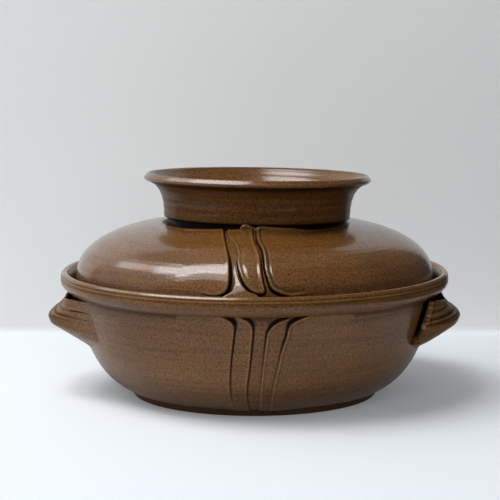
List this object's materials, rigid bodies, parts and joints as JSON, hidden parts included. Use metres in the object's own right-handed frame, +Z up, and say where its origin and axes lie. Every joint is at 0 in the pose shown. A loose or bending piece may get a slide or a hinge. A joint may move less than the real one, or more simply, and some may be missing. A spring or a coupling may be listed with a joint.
{
  "type": "lidded casserole dish",
  "caption": "Round wheel-thrown stoneware casserole with hollow lug handles, draped clay folds on the front and a domed lift-off lid gripped by its flared collar.",
  "frame": {"origin": "centre of the foot ring's underside, on the table", "axes": "+Z up along the wheel axis, +X through the right handle, the clay folds face -Y"},
  "size_m": [0.2668, 0.25, 0.1442],
  "materials": {
    "stoneware_glaze": "semi-gloss brown glaze with fine speckle and throwing rings",
    "handle_glaze": "semi-gloss brown glaze, darker in the throwing grooves",
    "fold_glaze": "semi-gloss brown glaze, thin and light along the folds' edges"
  },
  "bodies": {
    "dish": {"bowl": "stoneware_glaze", "left_handle": "handle_glaze", "right_handle": "handle_glaze", "bowl_fold_outer_left": "fold_glaze", "bowl_fold_inner_left": "fold_glaze", "bowl_fold_inner_right": "fold_glaze", "bowl_fold_outer_right": "fold_glaze"},
    "lid": {"lid_dome": "stoneware_glaze", "lid_collar": "stoneware_glaze", "lid_fold_left": "fold_glaze", "lid_fold_middle": "fold_glaze", "lid_fold_right": "fold_glaze"}
  },
  "joints": [
    {"name": "lid_lift", "type": "slide", "parent": "dish", "child": "lid", "axis": [0, 0, 1], "range_m": [0, 0.12]}
  ]
}
